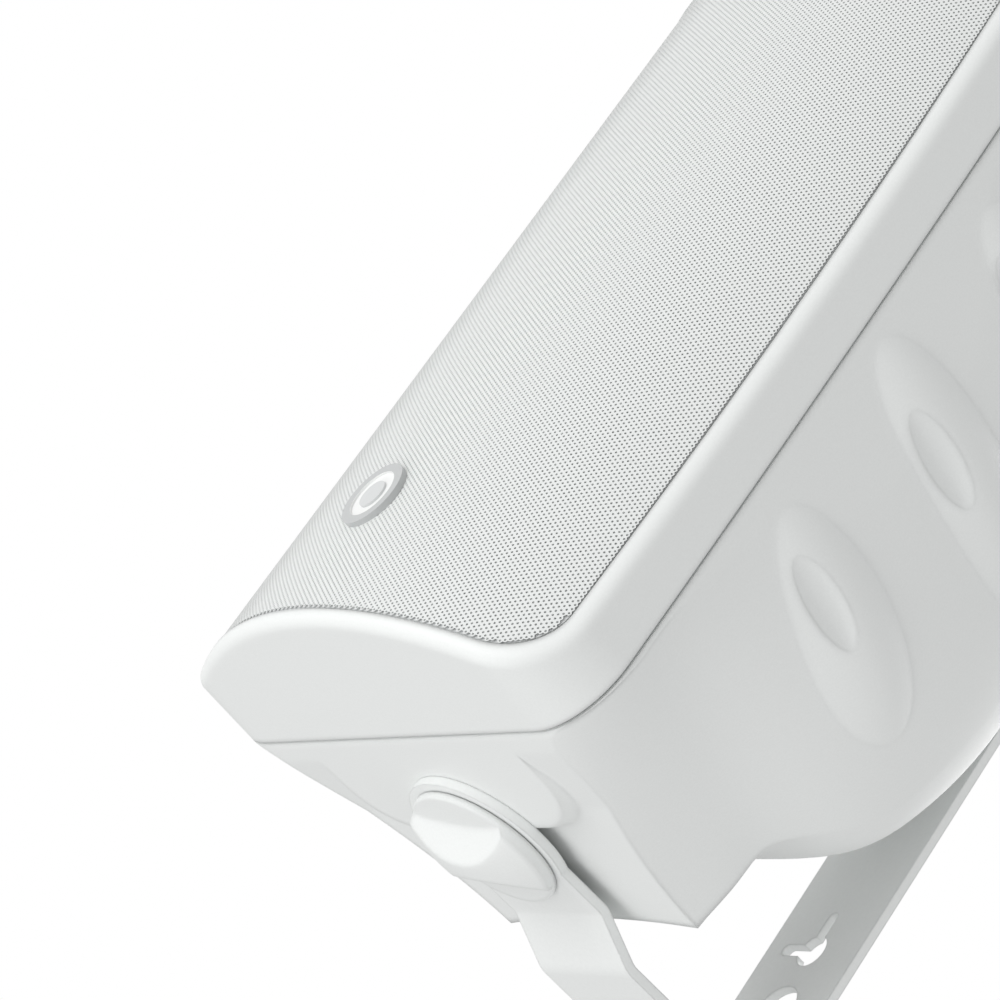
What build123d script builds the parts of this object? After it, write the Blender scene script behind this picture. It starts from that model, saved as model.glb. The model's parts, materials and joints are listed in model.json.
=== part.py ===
from build123d import *
import math
import os

# Outdoor patio speaker: a sealed two-way cabinet that swivels in a U-shaped wall bracket.
# Millimetres, +Z up, front towards -Y. The origin is the middle of the bracket's wall face.
# "Ahead" is a distance in front of the parting plane of the two cabinet halves, "depth" one behind it.

# Cabinet outline in the parting plane
cabinet_width = 190.0
cabinet_height = 270.0
side_bow = 2.5
corner_radius = 22.0

# Place of the cabinet in the bracket
belly_to_strap = 10.0
pivot_depth = 41.0

# Fits
running_clearance = 0.05
face_clearance = 0.05
fit_clearance = 0.3
thread_clearance = 0.05
glue_gap = 0.1
soft_clearance = 0.3

# Front frame with its baffle
crown_ahead = 47.0
arch_radius = 157.0
frame_draft = 2.5
bezel_round = 4.0
bezel_side_width = 4.6
bezel_end_width = 6.0
opening_radius = 17.0
baffle_ahead = 12.0
baffle_thickness = 6.0
frame_wall = 3.0
seam_reveal = 0.8

# Rear cabinet: flared and tapered at its ends, round in the middle
shell_wall = 3.0
foot_length = 31.0
foot_depth = 85.0
foot_hollow = 4.0
foot_end_half_width = 45.5
foot_root_half_width = 54.0
flare_exponent = 1.8
belly_depth = 137.0
belly_shoulder_depth = 112.0
belly_exponent = 2.9
belly_fullness = 3.6
trim_overlap = 0.6
end_overlap = 1.0

# Recess of the cabinet's ends around the flat pad that carries the pivot
recess_depth = 3.5
recess_start_depth = 8.0
recess_full_depth = 34.0
pad_half_width = 51.0
pad_depth = 38.0
pad_corner_radius = 20.0
pad_side_taper = 40.0

# Oval bumps on the sides
bump_count = 3
bump_spacing = 55.0
bump_middle_z = -0.5
bump_depth = 47.5
bump_length = 74.0
bump_bow = 5.0
bump_width = 30.0
bump_height = 5.5
bump_root = 10.0
bump_slant = 10.0
bump_lift = 2.0
crater_length = 41.0
crater_width = 12.5
crater_sink = 5.0
crater_shift = 8.9
crater_drop = 8.0

# Rim, gasket and screws between the two halves
rim_width = 9.0
rim_depth = 4.0
gasket_inset = 3.2
gasket_width = 2.0
gasket_depth = 1.6
screw_radius = 1.75
screw_head_radius = 3.6
screw_head_height = 2.4
screw_length = 20.0
screw_boss_radius = 4.5
screw_boss_depth = 15.0
screw_inset = 11.0
screw_column_inward = 34.0

# Pivot: brass inserts in the cabinet's ends, knobs on studs through the bracket's arms
stud_radius = 4.0
stud_length = 23.0
stud_in_knob = 7.0
insert_radius = 6.0
insert_length = 14.0
insert_boss_radius = 9.5
insert_boss_length = 17.0
washer_radius = 15.0
washer_thickness = 1.0
knob_radius = 22.8
knob_rim_height = 4.5
knob_height = 10.5
knob_floor_height = 2.4
knob_grip_width = 22.0
knob_grip_hollow = 75.0
knob_rim_gap = 0.3
knob_edge_round = 0.8
knob_rest_turn = -10.0

# Bracket of bent steel strip
strip_thickness = 3.0
strip_width = 43.0
arm_disc_radius = 25.5
arm_joggle = 7.0
joggle_start_depth = 72.0
joggle_end_depth = 89.0
bend_radius = 6.0
keyhole_radius = 5.5
keyhole_slot_width = 4.0
keyhole_slot_length = 12.0
keyhole_z = 91.0
cable_hole_radius = 8.0
cable_hole_z = 112.0
wall_screw_radius = 3.0
wall_screw_z = 18.0

# Grille and badge
grille_gap = 0.5
grille_sheet = 1.0
grille_drop = 0.4
grille_edge_round = 1.6
badge_above_end = 47.0
badge_radius = 11.0
badge_thickness = 1.6
badge_ring_width = 3.0
badge_centre_radius = 4.6
badge_sink = 0.7
badge_pin_radius = 1.5
badge_pin_length = 5.0
badge_clip_radius = 5.0
badge_clip_thickness = 0.8

# Screws of the drivers
driver_screw_reach = 8.0
driver_screw_length = 5.8

# Woofer: places along its axis count back from the baffle's front face
woofer_z = -54.0
woofer_flange_radius = 66.0
woofer_hole_radius = 58.5
woofer_gasket_thickness = 1.0
woofer_gasket_width = 2.0
spider_wave_count = 4
woofer_screw_circle = 62.5
woofer_screw_count = 6
basket_flange_thickness = 2.0
basket_sheet = 1.8
basket_wall_radius = 57.8
basket_wall_depth = 9.0
basket_floor_radius = 38.4
basket_depth = 36.0
basket_hole_radius = 16.0
basket_window_count = 6
basket_window_width = 22.0
surround_outer_radius = 58.5
surround_sheet = 0.8
surround_roll_sides = 8
cone_radius = 47.0
cone_depth = 22.0
cone_sheet = 1.0
dust_cap_radius = 16.0
dust_cap_rise = 6.0
coil_inner_radius = 12.8
coil_sheet = 0.4
coil_front = 18.0
coil_back = 48.0
winding_thickness = 0.7
winding_length = 12.0
spider_place = 26.0
spider_sheet = 0.6
spider_wave = 1.2
pole_gap = 0.5
plate_gap = 0.7
front_plate_radius = 36.0
front_plate_thickness = 5.0
magnet_inner_radius = 20.0
magnet_radius = 39.0
magnet_thickness = 16.0
yoke_thickness = 6.0

# Tweeter: places as on the woofer
tweeter_z = 62.0
tweeter_flange_radius = 42.0
tweeter_flange_thickness = 3.5
tweeter_hole_radius = 31.0
tweeter_body_radius = 30.0
tweeter_body_depth = 5.0
tweeter_throat_radius = 14.5
tweeter_mouth_radius = 24.0
tweeter_screw_circle = 36.5
tweeter_screw_count = 4
dome_radius = 12.5
dome_rise = 5.0
dome_sheet = 0.4
tweeter_coil_length = 5.0
tweeter_gap = 0.5
tweeter_plate_radius = 28.0
tweeter_plate_thickness = 4.0
tweeter_magnet_inner_radius = 16.0
tweeter_magnet_thickness = 8.0
tweeter_yoke_thickness = 4.0

# Crossover board on posts inside the back
board_width = 90.0
board_height = 56.0
board_thickness = 1.6
board_depth = 100.0
board_z = 50.0
board_screw_length = 9.0
post_radius = 3.5
post_inset = 5.0
inductor_radius = 15.0
inductor_hole_radius = 5.0
inductor_height = 14.0
capacitor_radius = 7.0
capacitor_length = 26.0
resistor_length = 24.0
resistor_width = 9.0

# Push terminals in the back of the lower foot
terminal_inward = 18.0
terminal_sink = 3.0
terminal_flange_width = 62.0
terminal_flange_height = 22.0
terminal_flange_thickness = 2.0
terminal_cup_width = 44.0
terminal_cup_height = 17.0
terminal_cup_depth = 16.0
terminal_cup_wall = 1.5
terminal_screw_x = 26.5
terminal_screw_length = 6.0
lever_height = 10.0
lever_thickness = 2.5
lever_side_gap = 0.4
lever_pin_radius = 1.0
lever_pin_reach = 0.6
lever_wire_radius = 1.6
contact_thickness = 0.8
contact_width = 8.0

# Wadding against the inside of the belly
wadding_width = 90.0
wadding_height = 90.0
wadding_z = -45.0
wadding_front_depth = 118.0

half_width = cabinet_width / 2
half_height = cabinet_height / 2
wall_to_pivot = belly_depth - pivot_depth + belly_to_strap + strip_thickness
parting_y = -wall_to_pivot - pivot_depth
pivot_y = -wall_to_pivot
arm_z = half_height + face_clearance
baffle_back = baffle_ahead - baffle_thickness
coil_outer_radius = coil_inner_radius + coil_sheet
pole_radius = coil_inner_radius - pole_gap
screw_column_z = half_height - screw_column_inward
badge_z = badge_above_end - half_height
terminal_z = terminal_inward - half_height
terminal_seat_depth = foot_depth - terminal_sink
terminal_mouth_depth = terminal_seat_depth + terminal_flange_thickness
terminal_floor_depth = terminal_seat_depth - terminal_cup_depth + terminal_cup_wall
lever_depth = terminal_seat_depth - lever_thickness
lever_pin_z = terminal_z - lever_height / 2 + 2 * lever_pin_radius


def mix(a, b, t):
    return a + (b - a) * t


def plan_outline(inset_side=0.0, inset_end=0.0, radius=corner_radius):
    """Rounded rectangle with bowed long sides, as seen from the front."""
    mid_x = half_width - inset_side
    end_x = mid_x - side_bow
    end_z = half_height - inset_end
    right = ThreePointArc((end_x, -end_z), (mid_x, 0), (end_x, end_z))
    top = Line((end_x, end_z), (-end_x, end_z))
    left = ThreePointArc((-end_x, end_z), (-mid_x, 0), (-end_x, -end_z))
    bottom = Line((-end_x, -end_z), (end_x, -end_z))
    face = make_face([right, top, left, bottom])
    return fillet(face.vertices(), radius)


def slab(outline, back, front, taper=0.0):
    """Extrude an outline forwards, between two distances ahead of the parting plane."""
    plane = Plane(origin=(0, parting_y - back, 0), x_dir=(1, 0, 0), z_dir=(0, -1, 0))
    return extrude(plane * outline, front - back, taper=taper)


def arch_body(drop=0.0):
    """Everything behind the arched front surface, or behind a surface lower by drop."""
    centre_y = parting_y - crown_ahead + arch_radius
    return Pos(0, centre_y, 0) * Cylinder(arch_radius - drop, 2 * cabinet_height)


def rim_half_width(inward):
    """Half-width of the outline at a distance in from its end, round the corner."""
    side = half_width - side_bow * (1 - inward / half_height) ** 2
    if inward >= corner_radius:
        return side
    drop = corner_radius - inward
    return side - corner_radius + math.sqrt(corner_radius ** 2 - drop ** 2)


def swell_at(z):
    """Share of the round belly in the section at height z, 0 at the feet and 1 at the middle."""
    along = min(abs(z) / (half_height - foot_length), 1.0)
    return 1 - along ** belly_fullness


def side_points(z, inset=0.0, open_front=0.0):
    """Points of the rear cabinet's right side at height z, from the parting plane to the back."""
    inward = max(half_height - abs(z), 0.0)
    near_end = min(inward / foot_length, 1.0)
    rim = rim_half_width(inward) + trim_overlap
    flare = mix(flare_exponent, 1.0, near_end)
    foot = mix(foot_end_half_width, foot_root_half_width, near_end)
    swell = swell_at(z)
    shoulder = mix(foot_depth, belly_shoulder_depth, swell) - inset
    points = []
    for step in range(5):
        share = step / 4
        tapered = foot + (rim - foot) * (1 - share) ** flare
        fall = (share * belly_shoulder_depth / belly_depth) ** belly_exponent
        rounded = rim * (1 - fall) ** (1 / belly_exponent)
        depth = share * shoulder if step else -open_front
        points.append((mix(tapered, rounded, swell) - inset, parting_y + depth, z))
    return points


def back_turn(z, foot_slope):
    """Direction of the back's curve at the shoulder: round in the belly, with an edge at the feet."""
    deep = belly_shoulder_depth / belly_depth
    wide = (1 - deep ** belly_exponent) ** (1 / belly_exponent)
    belly_slope = (wide / deep) ** (belly_exponent - 1) * belly_depth / half_width
    slope = mix(foot_slope, belly_slope, swell_at(z))
    return (-1, slope, 0)


def rear_section(z, inset=0.0, open_front=0.0):
    """Closed cross-section of the rear cabinet at height z, set in by a wall thickness."""
    near_end = min((half_height - abs(z)) / foot_length, 1.0)
    back = mix(foot_depth - foot_hollow * (1 - near_end), belly_depth, swell_at(z)) - inset
    right = side_points(z, inset, open_front)
    left = [(-x, y, z) for x, y, z in reversed(right)]
    into_back = back_turn(z, 2 * (parting_y + back - right[-1][1]) / right[-1][0])
    out_of_back = (into_back[0], -into_back[1], 0)
    across = [right[-1], (0, parting_y + back, z), left[0]]
    edges = [
        Edge.make_spline(right),
        Edge.make_spline(across, tangents=[into_back, out_of_back]),
        Edge.make_spline(left),
        Edge.make_line(left[-1], right[0]),
    ]
    return Wire(edges)


def rear_body(inset=0.0, open_front=0.0):
    """Loft of the rear cabinet's cross-sections from end to end, reaching just past both ends."""
    stations = [-end_overlap] + [foot_length * share for share in (0.13, 0.32, 0.65, 1.0)]
    stations += [mix(foot_length, half_height, share) for share in (0.16, 0.4, 0.68)]
    upper = [half_height - inward for inward in stations]
    heights = [-z for z in upper] + [0] + upper[::-1]
    return Solid.make_loft([rear_section(z, inset, open_front) for z in heights])


def cavity(wall, open_front=0.0):
    """Inside of the rear cabinet, a wall thickness in from its surface and its recessed ends."""
    reach = half_height - recess_depth - wall
    middle = block((-cabinet_width, cabinet_width), (-cabinet_width, 2 * belly_depth), (-reach, reach))
    return rear_body(wall, open_front) & middle


def side_x(z, depth):
    """Half-width of the rear cabinet at a height and a depth, straight between section points."""
    points = side_points(z)
    for near, far in zip(points, points[1:]):
        if far[1] >= parting_y + depth:
            share = (parting_y + depth - near[1]) / (far[1] - near[1])
            return mix(near[0], far[0], share)
    return points[-1][0]


def oval_cap(length, width, height):
    """Spheroid lying front to back, whose cap above local x = 0 has this length, width and height."""
    round_radius = (width ** 2 / 4 + height ** 2) / (2 * height)
    sink = round_radius - height
    long_radius = length / 2 / math.sqrt(1 - (sink / round_radius) ** 2)
    upper_half = Pos(0, round_radius) * Rectangle(4 * long_radius, 2 * round_radius)
    half = Ellipse(long_radius, round_radius) & upper_half
    return Pos(-sink, 0, 0) * Rot(0, 0, 90) * revolve(half, Axis.X)


def turned(profile):
    """Solid of revolution about Z from (radius, height) points."""
    outline = Plane.XZ * make_face(Polyline(*profile, close=True))
    return revolve(outline, Axis.Z)


def ring(inner, outer, low, high):
    """Flat ring about Z between two heights."""
    return turned([(inner, low), (outer, low), (outer, high), (inner, high)])


def disc(radius, low, high):
    """Flat disc about Z between two heights."""
    return Pos(0, 0, low) * extrude(Circle(radius), high - low)


def rod(radius, start, end):
    """Round bar between two points."""
    along = Vector(*end) - Vector(*start)
    return extrude(Plane(origin=start, z_dir=along) * Circle(radius), along.length)


def block(x_range, depth_range, z_range):
    """Box between pairs of x, depth behind the parting plane, and z."""
    size = [high - low for low, high in (x_range, depth_range, z_range)]
    middle = [(low + high) / 2 for low, high in (x_range, depth_range, z_range)]
    return Pos(middle[0], parting_y + middle[1], middle[2]) * Box(*size)


def on_baffle(x, z):
    """Frame on the baffle's front face, with local Z pointing back into the cabinet."""
    return Plane(origin=(x, parting_y - baffle_ahead, z), x_dir=(1, 0, 0), z_dir=(0, 1, 0))


def pan_screw(length):
    """Screw along Z with a low conical head, its seat at zero and its shank towards plus Z."""
    return turned([
        (0, -screw_head_height),
        (screw_head_radius - screw_head_height / 2, -screw_head_height),
        (screw_head_radius, 0),
        (screw_radius, 0),
        (screw_radius, length),
        (0, length),
    ])


def screw_circle(circle_radius, count):
    """Places of screws on a circle, half a step round from the x axis."""
    return [Rot(0, 0, 360 * (i + 0.5) / count) * Pos(circle_radius, 0, 0) for i in range(count)]


def driver_screws(seat, circle_radius, count):
    """Screws through a driver's flange, their heads on a seat in the driver's own frame."""
    screw = Pos(0, 0, seat) * pan_screw(driver_screw_reach)
    return [place * screw for place in screw_circle(circle_radius, count)]


def cabinet_screw_places():
    """X and Z of the screws that hold the two halves together."""
    heights = (-screw_column_z, 0, screw_column_z)
    inset_x = [rim_half_width(half_height - abs(z)) - screw_inset for z in heights]
    return [(side * x, z) for side in (-1, 1) for x, z in zip(inset_x, heights)]


def board_post_places():
    """X and Z of the posts under the crossover board's corners."""
    x = board_width / 2 - post_inset
    z = board_height / 2 - post_inset
    return [(side * x, board_z + end * z) for side in (-1, 1) for end in (-1, 1)]


def end_recess():
    """What is cut from the upper end of the rear cabinet around its flat pivot pad."""
    floor = half_height - recess_depth
    above = half_height + recess_depth
    behind = parting_y + 2 * belly_depth
    profile = [
        (parting_y + recess_start_depth, half_height),
        (parting_y + recess_full_depth, floor),
        (behind, floor),
        (behind, above),
        (parting_y + recess_start_depth, above),
    ]
    cutter = extrude(Plane.YZ * make_face(Polyline(*profile, close=True)), cabinet_width, both=True)
    pad_end = Plane(origin=(0, parting_y, half_height), x_dir=(1, 0, 0), z_dir=(0, 0, -1))
    tongue = Rectangle(2 * pad_half_width, 2 * pad_depth)
    tongue = fillet(tongue.vertices(), pad_corner_radius)
    pad = extrude(pad_end * tongue, 2 * recess_depth, taper=-pad_side_taper)
    return cutter - pad


def side_bump(step):
    """Raised oval on the right side, steps up from the middle one, and the crater cut into it."""
    z = bump_middle_z + step * bump_spacing
    depth = bump_depth - bump_bow * step ** 2
    length = bump_length - 2 * bump_bow * step ** 2
    reach = length / 4
    lean = side_x(z, depth - reach) - side_x(z, depth + reach)
    tilt = math.degrees(math.atan2(lean, 2 * reach))
    foot = Pos(side_x(z, depth), parting_y + depth, z)
    place = foot * Rot(0, 0, tilt - bump_lift) * Rot(-bump_slant, 0, 0)
    root = Pos(length / 2 - bump_root, 0, 0) * Box(length, 2 * length, 2 * length)
    behind_rim = block((0, cabinet_width), (rim_depth, belly_depth), (-half_height, half_height))
    mound = place * (oval_cap(length, bump_width, bump_height) & root) & behind_rim
    middle = Pos(bump_height, -crater_shift, -crater_drop)
    crater = place * middle * Rot(0, 0, 180) * oval_cap(crater_length, crater_width, crater_sink)
    return mound, crater


def make_rear_cabinet():
    trim = slab(plan_outline(), -2 * belly_depth, 0)
    body = rear_body() & trim
    recess = end_recess()
    body = body - recess - mirror(recess, Plane.XY)
    envelope = body
    for i in range(bump_count):
        mound, crater = side_bump(i - (bump_count - 1) / 2)
        for side in (mound, mirror(mound, Plane.YZ)):
            body = body + side
        for side in (crater, mirror(crater, Plane.YZ)):
            body = body - side
    body = body - cavity(shell_wall, open_front=end_overlap)

    inner_rim = plan_outline(rim_width, rim_width, corner_radius - rim_width)
    rim = slab(plan_outline(), -rim_depth, 0) - slab(inner_rim, -rim_depth, 0)
    inside = rim
    for x, z in cabinet_screw_places():
        inside += rod(screw_boss_radius, (x, parting_y, z), (x, parting_y + screw_boss_depth, z))
    for x, z in board_post_places():
        start = parting_y + board_depth + board_thickness
        inside += rod(post_radius, (x, start, z), (x, parting_y + belly_depth, z))
    for end in (-1, 1):
        boss_end = half_height - insert_boss_length
        inside += rod(insert_boss_radius, (0, pivot_y, end * half_height), (0, pivot_y, end * boss_end))
    body = body + (inside & envelope)

    body -= gasket_ring(0.0)
    for x, z in cabinet_screw_places():
        hole_end = parting_y + screw_boss_depth - shell_wall
        body -= rod(screw_radius + thread_clearance, (x, parting_y, z), (x, hole_end, z))
    for x, z in board_post_places():
        start = parting_y + board_depth
        body -= rod(screw_radius + thread_clearance, (x, start, z), (x, start + board_screw_length, z))
    for end in (-1, 1):
        hole_end = half_height - insert_length
        body -= rod(insert_radius, (0, pivot_y, end * half_height), (0, pivot_y, end * hole_end))
    return body - terminal_cut()


def around_terminal(width, height, depth_range):
    """Box about the middle of the push terminals."""
    return block((-width / 2, width / 2), depth_range, (terminal_z - height / 2, terminal_z + height / 2))


def terminal_cut():
    """Seat, opening and screw holes of the push terminals in the lower foot's back."""
    room = 2 * fit_clearance
    seat = (terminal_seat_depth, belly_depth)
    opening = (terminal_seat_depth - terminal_cup_depth, belly_depth)
    cut = around_terminal(terminal_flange_width + room, terminal_flange_height + room, seat)
    cut += around_terminal(terminal_cup_width + room, terminal_cup_height + room, opening)
    for side in (-1, 1):
        x = side * terminal_screw_x
        end = parting_y + terminal_seat_depth
        start = end - terminal_screw_length
        cut += rod(screw_radius + thread_clearance, (x, start, terminal_z), (x, end, terminal_z))
    return cut


def gasket_ring(clearance):
    """Seal in the groove of the rear cabinet's rim."""
    outer = gasket_inset + clearance
    inner = gasket_inset + gasket_width - clearance
    return slab(plan_outline(outer, outer, corner_radius - outer), -gasket_depth + clearance, 0) - slab(
        plan_outline(inner, inner, corner_radius - inner), -gasket_depth, 0
    )


def make_front_frame():
    body = slab(plan_outline(), 0, crown_ahead + bezel_round, taper=frame_draft) & arch_body()
    centre_y = parting_y - crown_ahead + arch_radius
    front_edges = []
    for edge in body.edges():
        gaps = [abs(math.hypot(v.X, v.Y - centre_y) - arch_radius) for v in edge.vertices()]
        if max(gaps) < 0.01:
            front_edges.append(edge)
    body = fillet(front_edges, bezel_round)
    opening = plan_outline(bezel_side_width, bezel_end_width, opening_radius)
    body -= slab(opening, baffle_ahead, 2 * crown_ahead)
    inside = plan_outline(2 * frame_wall, 2 * frame_wall, corner_radius - 2 * frame_wall)
    hollow = slab(inside, 0, baffle_back)
    for x, z in cabinet_screw_places():
        hollow -= rod(screw_boss_radius, (x, parting_y, z), (x, parting_y - baffle_back, z))
    body -= hollow
    reveal = slab(plan_outline(-1, -1), 0, seam_reveal)
    reveal -= slab(plan_outline(seam_reveal, seam_reveal), 0, seam_reveal)
    body -= reveal
    body -= on_baffle(0, woofer_z) * disc(woofer_hole_radius, -1, 2 * baffle_thickness)
    body -= on_baffle(0, tweeter_z) * disc(tweeter_hole_radius, -1, 2 * baffle_thickness)
    for x, z in cabinet_screw_places():
        body -= on_baffle(x, z) * disc(screw_radius + fit_clearance, -1, baffle_ahead + 1)
    pilot = disc(screw_radius + thread_clearance, 0, driver_screw_length)
    for place in screw_circle(woofer_screw_circle, woofer_screw_count):
        body -= on_baffle(0, woofer_z) * place * pilot
    for place in screw_circle(tweeter_screw_circle, tweeter_screw_count):
        body -= on_baffle(0, tweeter_z) * place * pilot
    return body


def make_grille():
    side = bezel_side_width + grille_gap
    end = bezel_end_width + grille_gap
    outline = plan_outline(side, end, opening_radius - grille_gap)
    body = slab(outline, baffle_ahead, 2 * crown_ahead) & arch_body(grille_drop)
    front = [face for face in body.faces() if face.geom_type == GeomType.CYLINDER]
    front = max(front, key=lambda face: face.area)
    body = fillet(front.edges(), grille_edge_round)
    inner_radius = opening_radius - grille_gap - grille_sheet
    inner = plan_outline(side + grille_sheet, end + grille_sheet, inner_radius)
    body -= slab(inner, baffle_ahead - 1, 2 * crown_ahead) & arch_body(grille_drop + grille_sheet)
    pin_end = (0, parting_y - crown_ahead + badge_pin_length, badge_z)
    body -= rod(badge_pin_radius + fit_clearance, (0, parting_y - 2 * crown_ahead, badge_z), pin_end)
    return body


def make_badge():
    """Plain round badge: a rim ring and a centre button on a thin disc, with a pin behind."""
    face_y = parting_y - crown_ahead + grille_drop
    plane = Plane(origin=(0, face_y, badge_z), x_dir=(1, 0, 0), z_dir=(0, 1, 0))
    body = disc(badge_radius, -badge_thickness, 1)
    dish_radius = badge_radius - badge_ring_width
    dish = ring(badge_centre_radius, dish_radius, -badge_thickness, badge_sink - badge_thickness)
    body = plane * (body - dish) - arch_body(grille_drop)
    return body + plane * disc(badge_pin_radius, -badge_sink / 2, badge_pin_length)


def make_badge_clip():
    back = parting_y - crown_ahead + grille_drop + grille_sheet
    plane = Plane(origin=(0, back, badge_z), x_dir=(1, 0, 0), z_dir=(0, 1, 0))
    clip = plane * ring(badge_pin_radius, badge_clip_radius, -badge_sink, badge_clip_thickness)
    return clip & arch_body(grille_drop + grille_sheet)


def make_cabinet_screws():
    screw = pan_screw(screw_length)
    return [on_baffle(x, z) * screw for x, z in cabinet_screw_places()]


def make_bracket():
    """Strip bent to a U, its arms stepped in to the cabinet's ends and rounded about the pivot."""
    tip_y = pivot_y - arm_disc_radius
    outer_z = arm_z + arm_joggle
    lower = [
        (tip_y, -arm_z),
        (parting_y + joggle_start_depth, -arm_z),
        (parting_y + joggle_end_depth, -outer_z),
        (-strip_thickness, -outer_z),
    ]
    upper = [(y, -z) for y, z in reversed(lower)]
    inner_line = FilletPolyline(*lower, *upper, radius=bend_radius)
    profile = offset(inner_line, amount=strip_thickness, side=Side.RIGHT)
    sheet = extrude(Plane.YZ * make_face(profile), arm_disc_radius, both=True)
    tall = 4 * half_height
    outline = block((-strip_width / 2, strip_width / 2), (pivot_depth, 4 * belly_depth), (-tall, tall))
    outline += Pos(0, pivot_y, 0) * Cylinder(arm_disc_radius, 2 * tall)
    body = sheet & outline
    body -= Pos(0, pivot_y, 0) * Cylinder(stud_radius + running_clearance, 2 * tall)
    for end in (-1, 1):
        body -= keyhole(end)
        body -= wall_hole(0, end * cable_hole_z, cable_hole_radius)
        body -= wall_hole(0, end * wall_screw_z, wall_screw_radius)
    return body


def wall_hole(x, z, radius):
    return rod(radius, (x, -2 * strip_thickness, z), (x, strip_thickness, z))


def keyhole(end):
    """Screw-head hole with one slot up and one to the side, so that the speaker hangs either way."""
    z = end * keyhole_z
    reach = keyhole_slot_length
    cut = wall_hole(0, z, keyhole_radius)
    half = keyhole_slot_width / 2
    wall = pivot_depth + wall_to_pivot
    behind = (wall - 2 * strip_thickness, wall + strip_thickness)
    cut += block((-half, half), behind, (z, z + reach))
    cut += wall_hole(0, z + reach, half)
    cut += block((-reach, 0), behind, (z - half, z + half))
    cut += wall_hole(-reach, z, half)
    return cut


def at_arm(end):
    """Frame on the outer face of one arm at the pivot, with local Z pointing out of the cabinet."""
    origin = (0, pivot_y, end * (arm_z + strip_thickness + face_clearance))
    return Plane(origin=origin, x_dir=(1, 0, 0), z_dir=(0, 0, end))


def make_knob(end):
    """Domed knob with a waisted grip bar between two scoops, hollowed for its washer and stud."""
    rise = knob_height - knob_rim_height
    sphere = (knob_radius ** 2 + rise ** 2) / (2 * rise)
    body = disc(knob_radius, knob_rim_gap, knob_height)
    body &= Pos(0, 0, knob_height - sphere) * Sphere(sphere)
    scoop = Cone(knob_grip_hollow, knob_grip_hollow + knob_height, knob_height)
    for side in (-1, 1):
        middle_y = side * (knob_grip_width / 2 + knob_grip_hollow)
        body -= Pos(0, middle_y, knob_floor_height + knob_height / 2) * scoop
    rims = []
    for edge in body.edges():
        on_rim = max(abs(math.hypot(v.X, v.Y) - knob_radius) for v in edge.vertices()) < knob_rim_gap
        level = max(v.Z for v in edge.vertices()) - min(v.Z for v in edge.vertices()) < knob_rim_gap
        if on_rim and level and edge.center().Z > knob_rim_gap and edge.geom_type == GeomType.CIRCLE:
            rims.append(edge)
    body = fillet(rims, knob_edge_round)
    body -= disc(washer_radius + fit_clearance, 0, washer_thickness + face_clearance)
    body -= disc(stud_radius, 0, stud_in_knob)
    return at_arm(end) * Rot(0, 0, knob_rest_turn) * body


def make_knob_washer(end):
    return at_arm(end) * ring(stud_radius + fit_clearance, washer_radius, 0, washer_thickness)


def make_knob_stud(end):
    return at_arm(end) * disc(stud_radius, stud_in_knob - stud_length, stud_in_knob)


def make_pivot_insert(end):
    plane = Plane(origin=(0, pivot_y, end * half_height), x_dir=(1, 0, 0), z_dir=(0, 0, -end))
    return plane * ring(stud_radius + running_clearance, insert_radius, 0, insert_length)


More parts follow.
